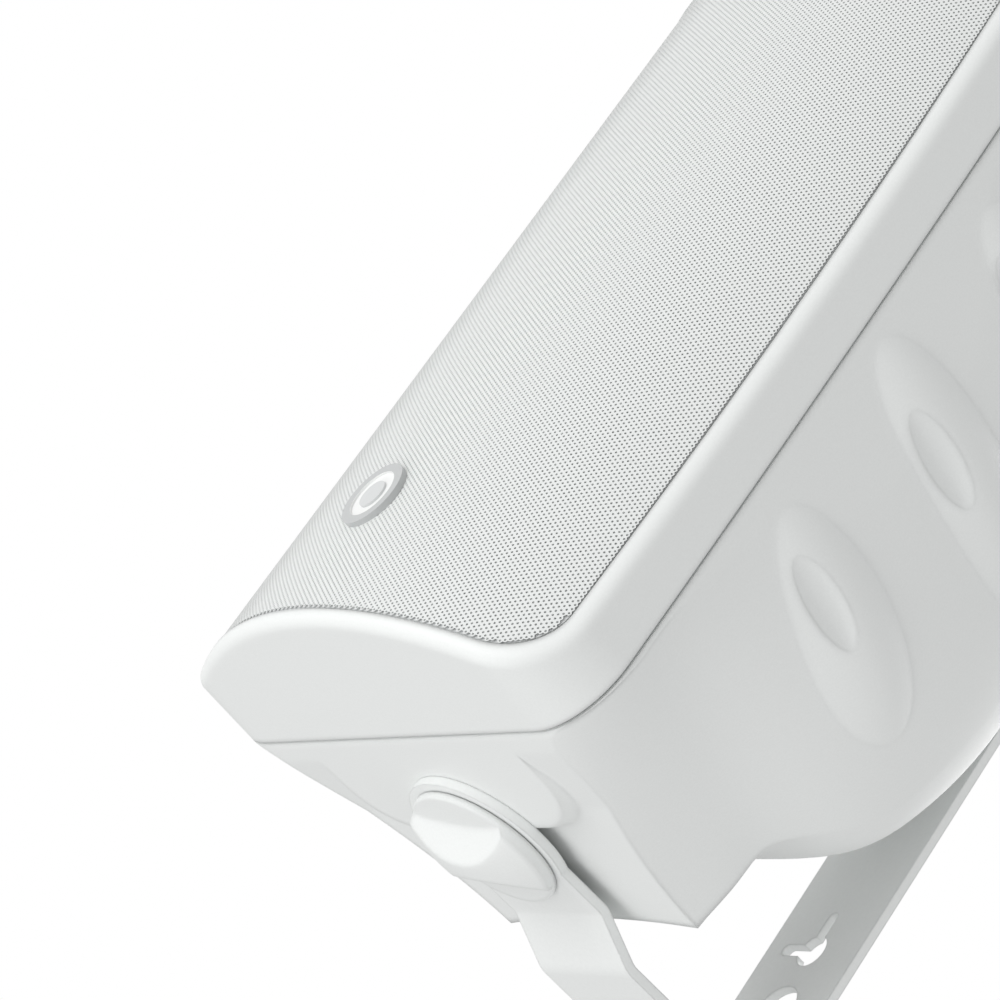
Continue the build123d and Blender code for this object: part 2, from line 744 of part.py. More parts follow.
def woofer_parts():
    """Nodes of the woofer in its own frame, place zero at the baffle's front face."""
    flange_back = -woofer_gasket_thickness
    flange_front = flange_back - basket_flange_thickness
    floor_front = basket_depth - basket_sheet
    basket_inner = basket_wall_radius - basket_sheet
    floor_inner = basket_floor_radius - basket_sheet / 2
    cone_start = basket_wall_depth - basket_sheet / 2
    basket = turned([
        (woofer_flange_radius, flange_front),
        (woofer_flange_radius, flange_back),
        (basket_wall_radius, flange_back),
        (basket_wall_radius, basket_wall_depth),
        (basket_floor_radius, basket_depth),
        (basket_hole_radius, basket_depth),
        (basket_hole_radius, floor_front),
        (floor_inner, floor_front),
        (basket_inner, cone_start),
        (basket_inner, flange_front),
    ])
    window_place = (basket_wall_depth + floor_front) / 2
    window_length = (floor_front - basket_wall_depth) * 0.6
    window_radius = (basket_wall_radius + basket_floor_radius) / 2
    window = Box(basket_wall_radius / 2, basket_window_width, window_length)
    window = Pos(window_radius, 0, window_place) * window
    for i in range(basket_window_count):
        basket -= Rot(0, 0, 360 * i / basket_window_count) * window
    clear_hole = disc(screw_radius + fit_clearance, flange_front - 1, 1)
    gasket = ring(woofer_hole_radius, woofer_hole_radius + woofer_gasket_width, flange_back, 0)
    for place in screw_circle(woofer_screw_circle, woofer_screw_count):
        basket -= place * clear_hole

    roll_radius = (cone_radius + basket_inner) / 2
    roll_outer = (basket_inner - cone_radius) / 2
    lip_front = flange_front - surround_sheet
    turns = [math.pi * i / surround_roll_sides for i in range(surround_roll_sides + 1)]
    roll = []
    for size, order in ((roll_outer, turns), (roll_outer - surround_sheet, turns[::-1])):
        roll += [(roll_radius + size * math.cos(a), flange_front - size * math.sin(a)) for a in order]
    surround = turned(roll)
    half_sheet = surround_sheet / 2
    surround += ring(basket_inner - half_sheet, surround_outer_radius, lip_front, flange_front)
    surround += ring(cone_radius - 2 * surround_sheet, cone_radius + half_sheet, lip_front, flange_front)

    neck = coil_outer_radius + glue_gap
    neck_front = flange_front + cone_depth
    cone = turned([
        (cone_radius, flange_front),
        (cone_radius, flange_front + cone_sheet),
        (neck, neck_front + cone_sheet),
        (neck, neck_front),
    ])
    cap_edge = flange_front + cone_depth * (cone_radius - dust_cap_radius) / (cone_radius - neck) - glue_gap
    cap_sphere = (dust_cap_radius ** 2 + dust_cap_rise ** 2) / (2 * dust_cap_rise)
    cap_centre = Pos(0, 0, cap_edge - dust_cap_rise + cap_sphere)
    cap = cap_centre * Sphere(cap_sphere) - cap_centre * Sphere(cap_sphere - cone_sheet)
    cap &= disc(2 * dust_cap_radius, cap_edge - 2 * dust_cap_rise, cap_edge)

    plate_back = basket_depth + front_plate_thickness
    gap_middle = (basket_depth + plate_back) / 2
    coil = ring(coil_inner_radius, coil_outer_radius, coil_front, coil_back)
    coil += ring(
        coil_outer_radius,
        coil_outer_radius + winding_thickness,
        gap_middle - winding_length / 2,
        gap_middle + winding_length / 2,
    )
    spider_back = spider_place + spider_wave + spider_sheet
    along_wall = (spider_back - cone_start) / (floor_front - cone_start)
    spider_outer = mix(basket_inner, floor_inner, along_wall) - fit_clearance
    steps = 2 * spider_wave_count + 1
    front_line = []
    for i in range(steps + 1):
        crest = spider_wave if i % 2 else 0.0
        front_line.append((mix(neck, spider_outer, i / steps), spider_place + crest))
    back_line = [(r, place + spider_sheet) for r, place in reversed(front_line)]
    spider = turned(front_line + back_line)

    gap_outer = coil_outer_radius + winding_thickness + plate_gap
    front_plate = ring(gap_outer, front_plate_radius, basket_depth, plate_back)
    magnet_back = plate_back + magnet_thickness
    magnet = ring(magnet_inner_radius, magnet_radius, plate_back, magnet_back)
    yoke = disc(pole_radius, basket_depth, magnet_back)
    yoke += disc(front_plate_radius, magnet_back, magnet_back + yoke_thickness)
    screws = driver_screws(flange_front, woofer_screw_circle, woofer_screw_count)
    return {
        "woofer_basket": basket,
        "woofer_gasket": gasket,
        "woofer_surround": surround,
        "woofer_cone": cone,
        "woofer_dust_cap": cap,
        "woofer_voice_coil": coil,
        "woofer_spider": spider,
        "woofer_front_plate": front_plate,
        "woofer_magnet": magnet,
        "woofer_yoke": yoke,
        "woofer_screws": screws,
    }


def tweeter_parts():
    """Nodes of the tweeter in its own frame, place zero at the baffle's front face."""
    flange_front = -tweeter_flange_thickness
    back = tweeter_body_depth
    faceplate = turned([
        (tweeter_flange_radius, flange_front),
        (tweeter_flange_radius, 0),
        (tweeter_body_radius, 0),
        (tweeter_body_radius, back),
        (tweeter_throat_radius, back),
        (tweeter_throat_radius, back / 2),
        (tweeter_mouth_radius, flange_front),
    ])
    clear_hole = disc(screw_radius + fit_clearance, flange_front - 1, 1)
    for place in screw_circle(tweeter_screw_circle, tweeter_screw_count):
        faceplate -= place * clear_hole
    sphere = (dome_radius ** 2 + dome_rise ** 2) / (2 * dome_rise)
    centre = Pos(0, 0, back - dome_rise + sphere)
    dome = centre * Sphere(sphere) - centre * Sphere(sphere - dome_sheet)
    dome &= disc(2 * dome_radius, back - 2 * dome_rise, back)
    coil_outer = dome_radius
    coil_inner = dome_radius - dome_sheet
    suspension_back = back + dome_sheet
    suspension = ring(coil_outer + glue_gap, tweeter_magnet_inner_radius, back, suspension_back)
    coil = ring(coil_inner, coil_outer, back, back + tweeter_coil_length)
    plate_back = suspension_back + tweeter_plate_thickness
    plate = ring(coil_outer + tweeter_gap, tweeter_plate_radius, suspension_back, plate_back)
    magnet_back = plate_back + tweeter_magnet_thickness
    magnet = ring(tweeter_magnet_inner_radius, tweeter_plate_radius, plate_back, magnet_back)
    yoke = disc(coil_inner - tweeter_gap, suspension_back, magnet_back)
    yoke += disc(tweeter_plate_radius, magnet_back, magnet_back + tweeter_yoke_thickness)
    screws = driver_screws(flange_front, tweeter_screw_circle, tweeter_screw_count)
    return {
        "tweeter_faceplate": faceplate,
        "tweeter_dome": dome,
        "tweeter_suspension": suspension,
        "tweeter_voice_coil": coil,
        "tweeter_front_plate": plate,
        "tweeter_magnet": magnet,
        "tweeter_yoke": yoke,
        "tweeter_screws": screws,
    }


def crossover_parts():
    """Board on its four posts, with the parts of a two-way filter on its front."""
    half_w = board_width / 2
    half_h = board_height / 2
    board_faces = (board_depth, board_depth + board_thickness)
    board = block((-half_w, half_w), board_faces, (board_z - half_h, board_z + half_h))
    front = Plane(origin=(0, parting_y + board_depth, board_z), x_dir=(1, 0, 0), z_dir=(0, -1, 0))
    hole = disc(screw_radius + fit_clearance, -2 * board_thickness, board_thickness)
    screw = Rot(180, 0, 0) * pan_screw(board_screw_length)
    screws = []
    for x, z in board_post_places():
        place = front * Pos(x, z - board_z, 0)
        board -= place * hole
        screws.append(place * screw)
    left = -board_width / 4
    right = board_width / 4
    inductor_y = -board_height / 12
    inductor = ring(inductor_hole_radius, inductor_radius, 0, inductor_height)
    inductor = front * Pos(left, inductor_y, 0) * inductor
    can = Rot(0, 90, 0) * Pos(0, 0, -capacitor_length / 2) * disc(capacitor_radius, 0, capacitor_length)
    lift = Pos(0, 0, capacitor_radius)
    row = capacitor_radius + board_height / 24
    capacitors = [front * Pos(right, y, 0) * lift * can for y in (-row, row)]
    resistor_y = inductor_y + inductor_radius + resistor_width / 2 + board_height / 28
    resistor = Box(resistor_length, resistor_width, resistor_width)
    resistor = front * Pos(left, resistor_y, resistor_width / 2) * resistor
    return {
        "crossover_board": board,
        "crossover_inductor": inductor,
        "crossover_capacitors": capacitors,
        "crossover_resistor": resistor,
        "crossover_screws": screws,
    }


def terminal_bay(side):
    """Low and high x of the left or right bay of the terminal cup."""
    middle = terminal_cup_wall / 2
    outer = terminal_cup_width / 2 - terminal_cup_wall
    return sorted((side * middle, side * outer))


def lever_pin(side, clearance):
    """Pin across a bay of the terminal cup, let into the walls beside it."""
    low, high = terminal_bay(side)
    reach = lever_pin_reach + clearance
    pin_y = parting_y + lever_depth
    start = (low - reach, pin_y, lever_pin_z)
    end = (high + reach, pin_y, lever_pin_z)
    return rod(lever_pin_radius + clearance, start, end)


def at_terminal_screw(side):
    """Frame on the terminal flange at one of its screws, with local Z pointing into the cabinet."""
    origin = (side * terminal_screw_x, parting_y + terminal_mouth_depth, terminal_z)
    return Plane(origin=origin, x_dir=(1, 0, 0), z_dir=(0, -1, 0))


def make_terminal_cup():
    flange = (terminal_seat_depth, terminal_mouth_depth)
    inside = (terminal_seat_depth - terminal_cup_depth, terminal_seat_depth)
    cup = around_terminal(terminal_flange_width, terminal_flange_height, flange)
    cup += around_terminal(terminal_cup_width, terminal_cup_height, inside)
    half_bay = terminal_cup_height / 2 - terminal_cup_wall
    screw_hole = disc(screw_radius + fit_clearance, 0, 2 * terminal_flange_thickness)
    for side in (-1, 1):
        bay_depths = (terminal_floor_depth, terminal_mouth_depth)
        cup -= block(terminal_bay(side), bay_depths, (terminal_z - half_bay, terminal_z + half_bay))
        cup -= lever_pin(side, running_clearance)
        cup -= at_terminal_screw(side) * screw_hole
    return cup


def make_terminal_lever(side):
    """Push lever with its wire hole, swinging on a pin near its lower edge."""
    low, high = terminal_bay(side)
    half = lever_thickness / 2
    width = (low + lever_side_gap, high - lever_side_gap)
    lever_depths = (lever_depth - half, lever_depth + half)
    lever = block(width, lever_depths, (terminal_z - lever_height / 2, terminal_z + lever_height / 2))
    middle_x = (low + high) / 2
    pin_y = parting_y + lever_depth
    front = (middle_x, pin_y - lever_thickness, terminal_z)
    back = (middle_x, pin_y + lever_thickness, terminal_z)
    return lever - rod(lever_wire_radius, front, back) + lever_pin(side, 0.0)


def make_terminal_contact(side):
    middle_x = sum(terminal_bay(side)) / 2
    half_bay = terminal_cup_height / 2 - terminal_cup_wall - fit_clearance
    width = (middle_x - contact_width / 2, middle_x + contact_width / 2)
    depths = (terminal_floor_depth, terminal_floor_depth + contact_thickness)
    return block(width, depths, (terminal_z - half_bay, terminal_z + half_bay))


def terminal_parts():
    """Push terminals: a cup in the lower foot's back, two sprung levers and their contacts."""
    return {
        "terminal_cup": make_terminal_cup(),
        "terminal_lever_black": make_terminal_lever(-1),
        "terminal_lever_red": make_terminal_lever(1),
        "terminal_contacts": [make_terminal_contact(side) for side in (-1, 1)],
        "terminal_screws": [at_terminal_screw(side) * pan_screw(terminal_screw_length) for side in (-1, 1)],
    }


def make_damping_pad():
    """Wadding that lies against the inside of the belly."""
    return cavity(shell_wall + soft_clearance) & block(
        (-wadding_width / 2, wadding_width / 2),
        (wadding_front_depth, 2 * belly_depth),
        (wadding_z - wadding_height / 2, wadding_z + wadding_height / 2),
    )


def make_parts():
    """Every node of the speaker by its name."""
    parts = {
        "rear_cabinet": make_rear_cabinet(),
        "front_frame": make_front_frame(),
        "cabinet_gasket": gasket_ring(glue_gap),
        "cabinet_screws": make_cabinet_screws(),
        "grille": make_grille(),
        "badge": make_badge(),
        "badge_clip": make_badge_clip(),
        "bracket": make_bracket(),
        "damping_pad": make_damping_pad(),
    }
    for end, name in ((-1, "lower"), (1, "upper")):
        parts["clamp_knob_" + name] = make_knob(end)
        parts["knob_washer_" + name] = make_knob_washer(end)
        parts["knob_stud_" + name] = make_knob_stud(end)
        parts["pivot_insert_" + name] = make_pivot_insert(end)
    for name, shape in woofer_parts().items():
        parts[name] = placed(on_baffle(0, woofer_z), shape)
    for name, shape in tweeter_parts().items():
        parts[name] = placed(on_baffle(0, tweeter_z), shape)
    parts.update(crossover_parts())
    parts.update(terminal_parts())
    return parts


def placed(plane, shape):
    """A shape, or each of a list of shapes, moved into a frame."""
    if isinstance(shape, list):
        return [plane * one for one in shape]
    return plane * shape


def main():
    os.makedirs("parts", exist_ok=True)
    for name, shape in make_parts().items():
        if isinstance(shape, list):
            shape = Compound(children=shape)
        export_step(shape, f"parts/{name}.step")


if __name__ == "__main__":
    main()
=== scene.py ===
import json
import math

import bpy
from mathutils import Matrix, Vector


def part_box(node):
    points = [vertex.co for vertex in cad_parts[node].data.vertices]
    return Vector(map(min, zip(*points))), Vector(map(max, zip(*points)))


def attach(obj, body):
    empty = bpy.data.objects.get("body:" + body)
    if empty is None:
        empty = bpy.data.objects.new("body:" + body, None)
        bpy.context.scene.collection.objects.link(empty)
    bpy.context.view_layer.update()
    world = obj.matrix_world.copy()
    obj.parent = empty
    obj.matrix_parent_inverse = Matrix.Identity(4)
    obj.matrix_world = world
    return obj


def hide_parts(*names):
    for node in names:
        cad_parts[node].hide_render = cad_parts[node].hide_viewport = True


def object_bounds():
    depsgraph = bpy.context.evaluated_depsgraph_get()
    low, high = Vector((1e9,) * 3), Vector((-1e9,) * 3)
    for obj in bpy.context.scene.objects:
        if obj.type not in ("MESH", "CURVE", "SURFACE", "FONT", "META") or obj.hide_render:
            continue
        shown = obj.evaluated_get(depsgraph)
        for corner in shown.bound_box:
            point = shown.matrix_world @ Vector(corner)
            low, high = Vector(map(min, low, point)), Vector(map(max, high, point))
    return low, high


# Looks of the outdoor patio speaker, in metres, in the frame of the CAD part: +Z up, front towards -Y.
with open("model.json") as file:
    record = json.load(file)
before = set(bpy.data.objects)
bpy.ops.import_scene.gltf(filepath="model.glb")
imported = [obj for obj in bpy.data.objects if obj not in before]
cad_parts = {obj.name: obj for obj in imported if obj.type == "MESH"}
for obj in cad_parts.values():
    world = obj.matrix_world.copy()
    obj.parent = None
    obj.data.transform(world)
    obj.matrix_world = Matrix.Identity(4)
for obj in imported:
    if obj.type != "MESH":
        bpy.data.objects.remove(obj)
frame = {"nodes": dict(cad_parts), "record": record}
cad_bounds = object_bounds()
MM = 0.001

# Camera matched to the photograph: it looks up at the speaker from its lower right
CAMERA_PLACE = Vector((0.97588, -0.59206, -0.53549))
CAMERA_RIGHT = Vector((0.5423, 0.6495, 0.5329))
CAMERA_UP = Vector((0.0693, -0.6667, 0.7421))
CAMERA_LENS = 150.9

# Studio: soft daylight all round, a key from the front and fills from below, from the right and from behind
BACKDROP_STRENGTH = 1.0
AMBIENT_STRENGTH = 0.62
LIGHT_DISTANCE = 1.7
LIGHT_SIZE = 1.4
KEY_FROM = Vector((0.0, -0.9, -0.2))
KEY_POWER = 16.5
BELOW_FROM = Vector((0.0, -0.3, -1.0))
BELOW_POWER = 6.0
RIGHT_FROM = Vector((0.8, 0.6, -0.2))
RIGHT_POWER = 4.0
BEHIND_FROM = Vector((-0.6, 0.8, 0.8))
BEHIND_POWER = 12.0
FLOOR_DROP = 2.0
FLOOR_SIZE = 60.0

# Perforated sheet of the grille, bent to the arch of the CAD grille
ARCH_RADIUS = 156.6 * MM
SIDE_BOW = 2.5 * MM
CORNER_RADIUS = 16.5 * MM
EDGE_GAP = 0.4 * MM
TRAY_WIDTH = 2.5 * MM
TRAY_SINK = 0.8 * MM
SHEET_THICKNESS = 0.4 * MM
CLOTH_GAP = 0.1 * MM
HOLE_PITCH = 1.424 * MM
HOLE_RADIUS = 0.38 * MM
CELL_RADIUS = HOLE_PITCH / math.sqrt(3)
HOLE_SIDES = 6
PANEL_COUNT = 4
SIDE_STEPS = 96
END_STEPS = 48
SEAM_MERGE = 0.1 * MM
grille_low, grille_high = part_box("grille")
arch_middle_y = grille_low.y + ARCH_RADIUS

# Badge: radii of its plain button, of the dish round it and of its rim, and the grain of its lacquer
BADGE_BUTTON = 4.6 * MM
BADGE_DISH = 8.0 * MM
BADGE_RADIUS = 11.0 * MM
BADGE_GRAIN = 0.3 * MM
BADGE_GRAIN_DEPTH = 0.004 * MM

# Look of edges: how far mould and paint round them, and the samples that feel for each edge
MOULD_ROUND = 2.5 * MM
SHELL_ROUND = 4.0 * MM
PAINT_ROUND = 1.0 * MM
ROUND_SAMPLES = 6

# Width of one band of Blender's wave texture at scale 1
WAVE_WIDTH = math.pi / 10

# Painted shade on the grille's sheet where it turns away from the eye (0 facing it, 1 edge on): its colour is
# scaled darker, to this share
PAINTED_SHADE_START = 0.8
PAINTED_SHADE_END = 0.92
PAINTED_SHADE_LEVEL = 0.84


def linear(hex_colour):
    """Linear RGBA of an sRGB hex colour."""
    channels = [int(hex_colour[i:i + 2], 16) / 255 for i in (1, 3, 5)]
    return [c / 12.92 if c <= 0.04045 else ((c + 0.055) / 1.055) ** 2.4 for c in channels] + [1.0]


def add_node(tree, kind, inputs=None, **settings):
    """Add a node with its settings; each input is a plain value or another node's output."""
    node = tree.nodes.new(kind)
    for name, value in settings.items():
        setattr(node, name, value)
    for name, value in (inputs or {}).items():
        if isinstance(value, bpy.types.NodeSocket):
            tree.links.new(value, node.inputs[name])
        else:
            node.inputs[name].default_value = value
    return node


def new_material(name, **sockets):
    """Material with a Principled shader whose constant sockets are set, and its Object coordinates."""
    material = bpy.data.materials.new(name)
    material.use_nodes = True
    tree = material.node_tree
    shader = tree.nodes["Principled BSDF"]
    for socket, value in sockets.items():
        shader.inputs[socket].default_value = value
    place = add_node(tree, "ShaderNodeTexCoord").outputs["Object"]
    return material, tree, shader, place


def shade(tree, shader, pattern, low, high, depth, edge_round=0.0):
    """Colour the shader between two hex colours by a pattern, and raise the surface by the same pattern."""
    colour = add_node(tree, "ShaderNodeValToRGB", {"Fac": pattern})
    colour.color_ramp.elements[0].color = linear(low)
    colour.color_ramp.elements[1].color = linear(high)
    bump = add_node(tree, "ShaderNodeBump", {"Height": pattern, "Distance": depth})
    if edge_round:
        soft_edge = add_node(tree, "ShaderNodeBevel", {"Radius": edge_round}, samples=ROUND_SAMPLES)
        tree.links.new(soft_edge.outputs["Normal"], bump.inputs["Normal"])
    tree.links.new(colour.outputs["Color"], shader.inputs["Base Color"])
    tree.links.new(bump.outputs["Normal"], shader.inputs["Normal"])


def grained(name, low, high, grain, depth, roughness, metallic=0.0, edge_round=0.0):
    """Material with an even random grain of a given size and depth."""
    material, tree, shader, place = new_material(name, Roughness=roughness, Metallic=metallic)
    noise = add_node(tree, "ShaderNodeTexNoise", {"Vector": place, "Scale": 1 / grain, "Detail": 4.0})
    shade(tree, shader, noise.outputs["Fac"], low, high, depth, edge_round)
    return material


def banded(name, low, high, band, depth, roughness, axis, metallic=0.0, waver=0.0):
    """Material with bands of a given width across an axis, such as wire, turned metal or thread."""
    material, tree, shader, place = new_material(name, Roughness=roughness, Metallic=metallic)
    sizes = {"Vector": place, "Scale": WAVE_WIDTH / band, "Distortion": waver, "Detail": 2.0}
    wave = add_node(tree, "ShaderNodeTexWave", sizes, wave_type="BANDS", bands_direction=axis)
    shade(tree, shader, wave.outputs["Fac"], low, high, depth)
    return material


def moulded_white(name, edge_round):
    """Satin white of UV-stable polypropylene, with the even grain of a spark-eroded mould."""
    return grained(
        name, "#E4E6E5", "#ECEEED",
        grain=0.6 * MM, depth=0.015 * MM, roughness=0.45, edge_round=edge_round,
    )


def white_plastic():
    """Polypropylene of the frame and knobs: even satin white, its moulded edges a little soft."""
    return moulded_white("moulded_polypropylene", MOULD_ROUND)


def shell_plastic():
    """Polypropylene of the rear shell: the same white, its bumps and feet flowing softly into the wall."""
    return moulded_white("soft_edged_polypropylene", SHELL_ROUND)


def white_steel():
    """Powder coat baked on the bracket's strip: a faint orange peel, and edges rounded by the paint."""
    return grained(
        "powder_coated_steel", "#E6E8E7", "#EDEFEE",
        grain=1.1 * MM, depth=0.012 * MM, roughness=0.4, edge_round=PAINT_ROUND,
    )


def perforated_steel():
    """Thin powder coat on the grille's sheet: a little greyer and duller, with painted shade where it turns
    away.
    """
    material = grained(
        "powder_coated_sheet", "#DDDFDE", "#E5E7E6",
        grain=1.1 * MM, depth=0.012 * MM, roughness=0.5,
    )
    tree = material.node_tree
    base = tree.nodes["Principled BSDF"].inputs["Base Color"]
    paint = base.links[0].from_socket
    # Painted shade: the paint's colour is scaled darker as the sheet turns edge-on to the eye
    facing = add_node(tree, "ShaderNodeLayerWeight").outputs["Facing"]
    painted_shade_range = {"From Min": PAINTED_SHADE_START, "From Max": PAINTED_SHADE_END, "To Min": 1.0, "To Max": PAINTED_SHADE_LEVEL}
    painted_shade_share = add_node(tree, "ShaderNodeMapRange", {"Value": facing, **painted_shade_range}).outputs["Result"]
    painted_shade = add_node(tree, "ShaderNodeVectorMath", {0: paint, "Scale": painted_shade_share}, operation="SCALE")
    tree.links.new(painted_shade.outputs["Vector"], base)
    return material


def badge_metal():
    """Satin lacquer on pressed aluminium: a grey rim and button and a white dish over a fine grain."""
    material, tree, shader, place = new_material("lacquered_aluminium", Roughness=0.3)
    low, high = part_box("badge")
    middle = (low + high) / 2
    flat = add_node(tree, "ShaderNodeVectorMath", {0: place, 1: (1, 0, 1)}, operation="MULTIPLY")
    ends = {0: flat.outputs["Vector"], 1: (middle.x, 0, middle.z)}
    distance = add_node(tree, "ShaderNodeVectorMath", ends, operation="DISTANCE")
    radius = {"Value": distance.outputs["Value"], "From Max": BADGE_RADIUS}
    share = add_node(tree, "ShaderNodeMapRange", radius)
    rings = add_node(tree, "ShaderNodeValToRGB", {"Fac": share.outputs["Result"]})
    ramp = rings.color_ramp
    ramp.interpolation = "CONSTANT"
    ramp.elements[0].color = linear("#D4D6D6")
    ramp.elements[1].position = BADGE_DISH / BADGE_RADIUS
    ramp.elements[1].color = linear("#C0C2C2")
    ramp.elements.new(BADGE_BUTTON / BADGE_RADIUS).color = linear("#F0F1F0")
    noise = add_node(tree, "ShaderNodeTexNoise", {"Vector": place, "Scale": 1 / BADGE_GRAIN, "Detail": 2.0})
    grain = add_node(tree, "ShaderNodeBump", {"Height": noise.outputs["Fac"], "Distance": BADGE_GRAIN_DEPTH})
    tree.links.new(rings.outputs["Color"], shader.inputs["Base Color"])
    tree.links.new(grain.outputs["Normal"], shader.inputs["Normal"])
    return material


def zinc_steel():
    """Zinc plating: small crystals make bright steel slightly cloudy."""
    return grained(
        "zinc_plated_steel", "#B4B7BA", "#D2D5D8",
        grain=0.5 * MM, depth=0.004 * MM, roughness=0.32, metallic=1.0,
    )


def plain_steel():
    """Turned low-carbon steel of the magnet plates, with fine tool rings."""
    return banded(
        "turned_steel", "#8F9194", "#A9ABAE",
        band=0.15 * MM, depth=0.004 * MM, roughness=0.35, axis="Y", metallic=1.0,
    )


def brass():
    """Machined brass of the inserts and contacts."""
    return grained(
        "machined_brass", "#B8964F", "#D2B26A",
        grain=0.4 * MM, depth=0.003 * MM, roughness=0.3, metallic=1.0,
    )


def black_rubber():
    """Butyl rubber: dusty black with a soft, uneven skin."""
    return grained("butyl_rubber", "#17181A", "#25262A", grain=0.8 * MM, depth=0.02 * MM, roughness=0.75)


def cone_plastic():
    """Talc-filled polypropylene of the cone, dark and slightly mottled."""
    return grained(
        "filled_polypropylene", "#2A2B2F", "#3A3C41",
        grain=1.6 * MM, depth=0.02 * MM, roughness=0.5,
    )


def weave():
    """Resin-dipped cotton of the spider: a coarse tan thread."""
    return banded(
        "dipped_cotton", "#A8834F", "#D3B27E",
        band=0.5 * MM, depth=0.08 * MM, roughness=0.85, axis="X", waver=0.6,
    )


def silk():
    """Coated silk of the tweeter dome: a very fine black thread under a tacky coat."""
    return banded(
        "coated_silk", "#1A1B1D", "#303236",
        band=0.2 * MM, depth=0.01 * MM, roughness=0.45, axis="X", waver=0.4,
    )


def coil():
    """Enamelled wire side by side on its former."""
    return banded(
        "coil_wire", "#8A4E2B", "#C98856",
        band=0.25 * MM, depth=0.05 * MM, roughness=0.3, axis="Y", metallic=1.0,
    )


def ferrite():
    """Sintered ferrite: a dark grey ceramic with a coarse dry grain."""
    return grained("sintered_ferrite", "#2B2C2E", "#434548", grain=0.5 * MM, depth=0.03 * MM, roughness=0.7)


def black_steel():
    """Black paint on pressed steel."""
    return grained(
        "black_painted_steel", "#151617", "#202224",
        grain=1.2 * MM, depth=0.01 * MM, roughness=0.4,
    )


def black_plastic():
    """Moulded black plastic with a fine satin grain."""
    return grained(
        "moulded_black_plastic", "#161718", "#232527",
        grain=0.5 * MM, depth=0.012 * MM, roughness=0.45,
    )


def red_plastic():
    """Moulded red plastic of the positive lever."""
    return grained(
        "moulded_red_plastic", "#A01C1C", "#BC2A26",
        grain=0.5 * MM, depth=0.01 * MM, roughness=0.35,
    )


def board():
    """Glass-epoxy board: the glass weave shows faintly through the green mask."""
    return banded(
        "glass_epoxy", "#1F4D2B", "#2A6238",
        band=0.6 * MM, depth=0.01 * MM, roughness=0.4, axis="X", waver=0.3,
    )


def copper_winding():
    """Enamelled copper wire of the inductor, wound in even turns."""
    return banded(
        "enamelled_copper", "#8C4A22", "#D08A54",
        band=0.8 * MM, depth=0.2 * MM, roughness=0.3, axis="Y", metallic=1.0,
    )


def film():
    """Wrapped film of the capacitors: smooth blue with a faint roll of the wrap."""
    return banded(
        "film_wrap", "#27407E", "#33509A",
        band=2.0 * MM, depth=0.02 * MM, roughness=0.25, axis="X", waver=1.0,
    )


def ceramic():
    """Cement body of the resistor: chalky and pitted."""
    return grained("resistor_cement", "#CFCBC0", "#E4E0D6", grain=0.7 * MM, depth=0.05 * MM, roughness=0.9)


def wadding():
    """Polyester fibre: a pale, tangled fleece."""
    return grained("polyester_wadding", "#D2D2CC", "#F0F0EC", grain=2.5 * MM, depth=0.8 * MM, roughness=1.0)


def dust_cloth():
    """Polyester dust cloth behind the grille: a light grey weave that turns the holes soft grey."""
    return banded(
        "polyester_cloth", "#CED0D0", "#DEE0E0",
        band=0.4 * MM, depth=0.05 * MM, roughness=0.9, axis="X", waver=0.5,
    )


def make_materials():
    """One material for each slot of the record."""
    makers = [
        white_plastic, white_steel, badge_metal, zinc_steel, plain_steel, brass, black_rubber, cone_plastic,
        weave, silk, coil, ferrite, black_steel, black_plastic, red_plastic, board, copper_winding, film,
        ceramic, wadding,
    ]
    return {maker.__name__: maker() for maker in makers}


def dress_cad_nodes(materials):
    """Give every CAD node the material of its slot, and the rear cabinet the one with softer edges."""
    for part in frame["record"]["subparts"]:
        mesh = frame["nodes"][part["node"]].data
        mesh.materials.clear()
        mesh.materials.append(materials[part["material_slot"]])
    frame["nodes"]["rear_cabinet"].data.materials[0] = shell_plastic()


def link_piece(name, mesh):
    """Object at the origin that shows a mesh."""
    piece = bpy.data.objects.new(name, mesh)
    bpy.context.scene.collection.objects.link(piece)
    return piece


def on_arch(x, z, drop=0.0):
    """Point of the grille's front above a place in its outline, set back from the front by drop."""
    lean = math.asin(x / ARCH_RADIUS)
    radius = ARCH_RADIUS - drop
    return Vector((radius * math.sin(lean), arch_middle_y - radius * math.cos(lean), z))


def outline_half_width(z, inset):
    """Half-width of the grille's outline at a height, set in from its edge."""
    corner = CORNER_RADIUS - inset
    side = grille_high.x - inset - SIDE_BOW * (z / grille_high.z) ** 2
    into_corner = abs(z) - (grille_high.z - inset - corner)
    if into_corner <= 0:
        return side
    return side - corner + math.sqrt(max(corner ** 2 - into_corner ** 2, 0.0))


def outline_height(step, reach):
    """Height of a step along the grille's side; the steps lie closer together at the corners."""
    return reach * math.sin(math.pi * (step / SIDE_STEPS - 0.5))


def edge_loop(inset, drop):
    """Closed loop of points on the arched front, parallel to the grille's edge."""
    reach = grille_high.z - inset
    half = []
    for step in range(SIDE_STEPS + 1):
        z = outline_height(step, reach)
        half.append((outline_half_width(z, inset), z))
    end_x = outline_half_width(reach, inset)
    half += [(end_x * (1 - 2 * step / END_STEPS), reach) for step in range(1, END_STEPS)]
    return [on_arch(x, z, drop) for x, z in half] + [on_arch(-x, -z, drop) for x, z in half]


def make_grille_edge():
    """Turned edge of the grille: a ledge sunk under the rim of the perforated sheet and the flange behind."""
    loops = [edge_loop(EDGE_GAP + TRAY_WIDTH, TRAY_SINK), edge_loop(EDGE_GAP, TRAY_SINK)]
    loops.append([Vector((p.x, grille_high.y, p.z)) for p in loops[-1]])
    count = len(loops[0])
    faces = []
    for row in range(len(loops) - 1):
        inner = row * count
        outer = inner + count
        for i in range(count):
            after = (i + 1) % count
            faces.append((inner + i, outer + i, outer + after, inner + after))
    mesh = bpy.data.meshes.new("grille_edge")
    mesh.from_pydata([p for loop in loops for p in loop], [], faces)
    mesh.shade_smooth()
    return link_piece("grille_edge", mesh)


